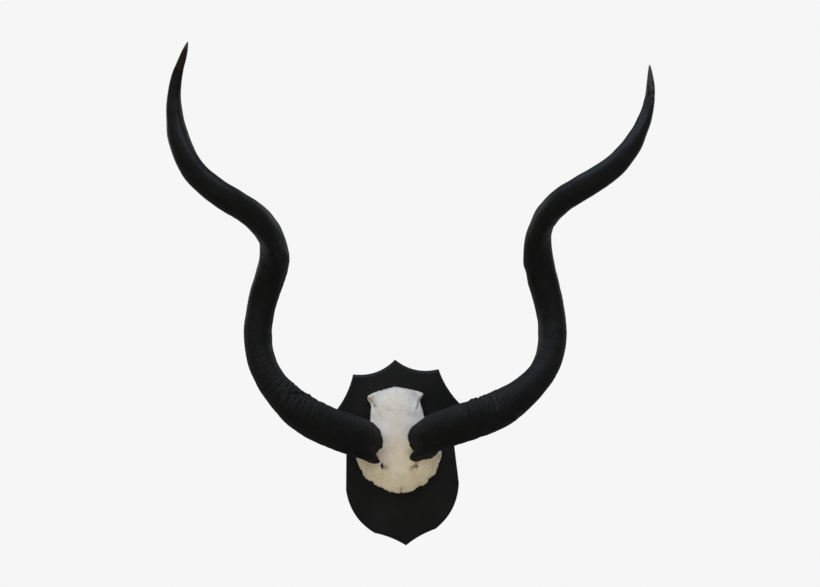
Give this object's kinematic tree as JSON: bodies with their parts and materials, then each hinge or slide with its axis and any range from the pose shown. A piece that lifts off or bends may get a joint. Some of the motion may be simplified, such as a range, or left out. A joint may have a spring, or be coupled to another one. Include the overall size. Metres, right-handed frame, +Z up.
{
  "type": "mounted kudu horns",
  "caption": "Pair of black spiral kudu horns on their sawn skull plate, screwed to a black painted heraldic wooden shield that hangs on a wall.",
  "frame": {"origin": "middle of the shield's flat back, on the wall, halfway between its top and bottom points", "axes": "+Z up, +Y out of the shield's back into the wall, -Y towards the viewer, +X the viewer's right"},
  "size_m": [0.8441, 0.4123, 0.9376],
  "materials": {
    "black_paint": "satin",
    "bone": "matte",
    "horn_keratin": "satin",
    "zinc_steel": "satin"
  },
  "bodies": {
    "root": {"shield": "black_paint", "skull_plate": "bone", "horn_left": "horn_keratin", "horn_right": "horn_keratin", "hanger_left": "zinc_steel", "hanger_right": "zinc_steel", "hanger_screw_1": "zinc_steel", "hanger_screw_2": "zinc_steel", "hanger_screw_3": "zinc_steel", "hanger_screw_4": "zinc_steel", "skull_screw_1": "zinc_steel", "skull_screw_2": "zinc_steel", "skull_screw_3": "zinc_steel"}
  },
  "joints": []
}
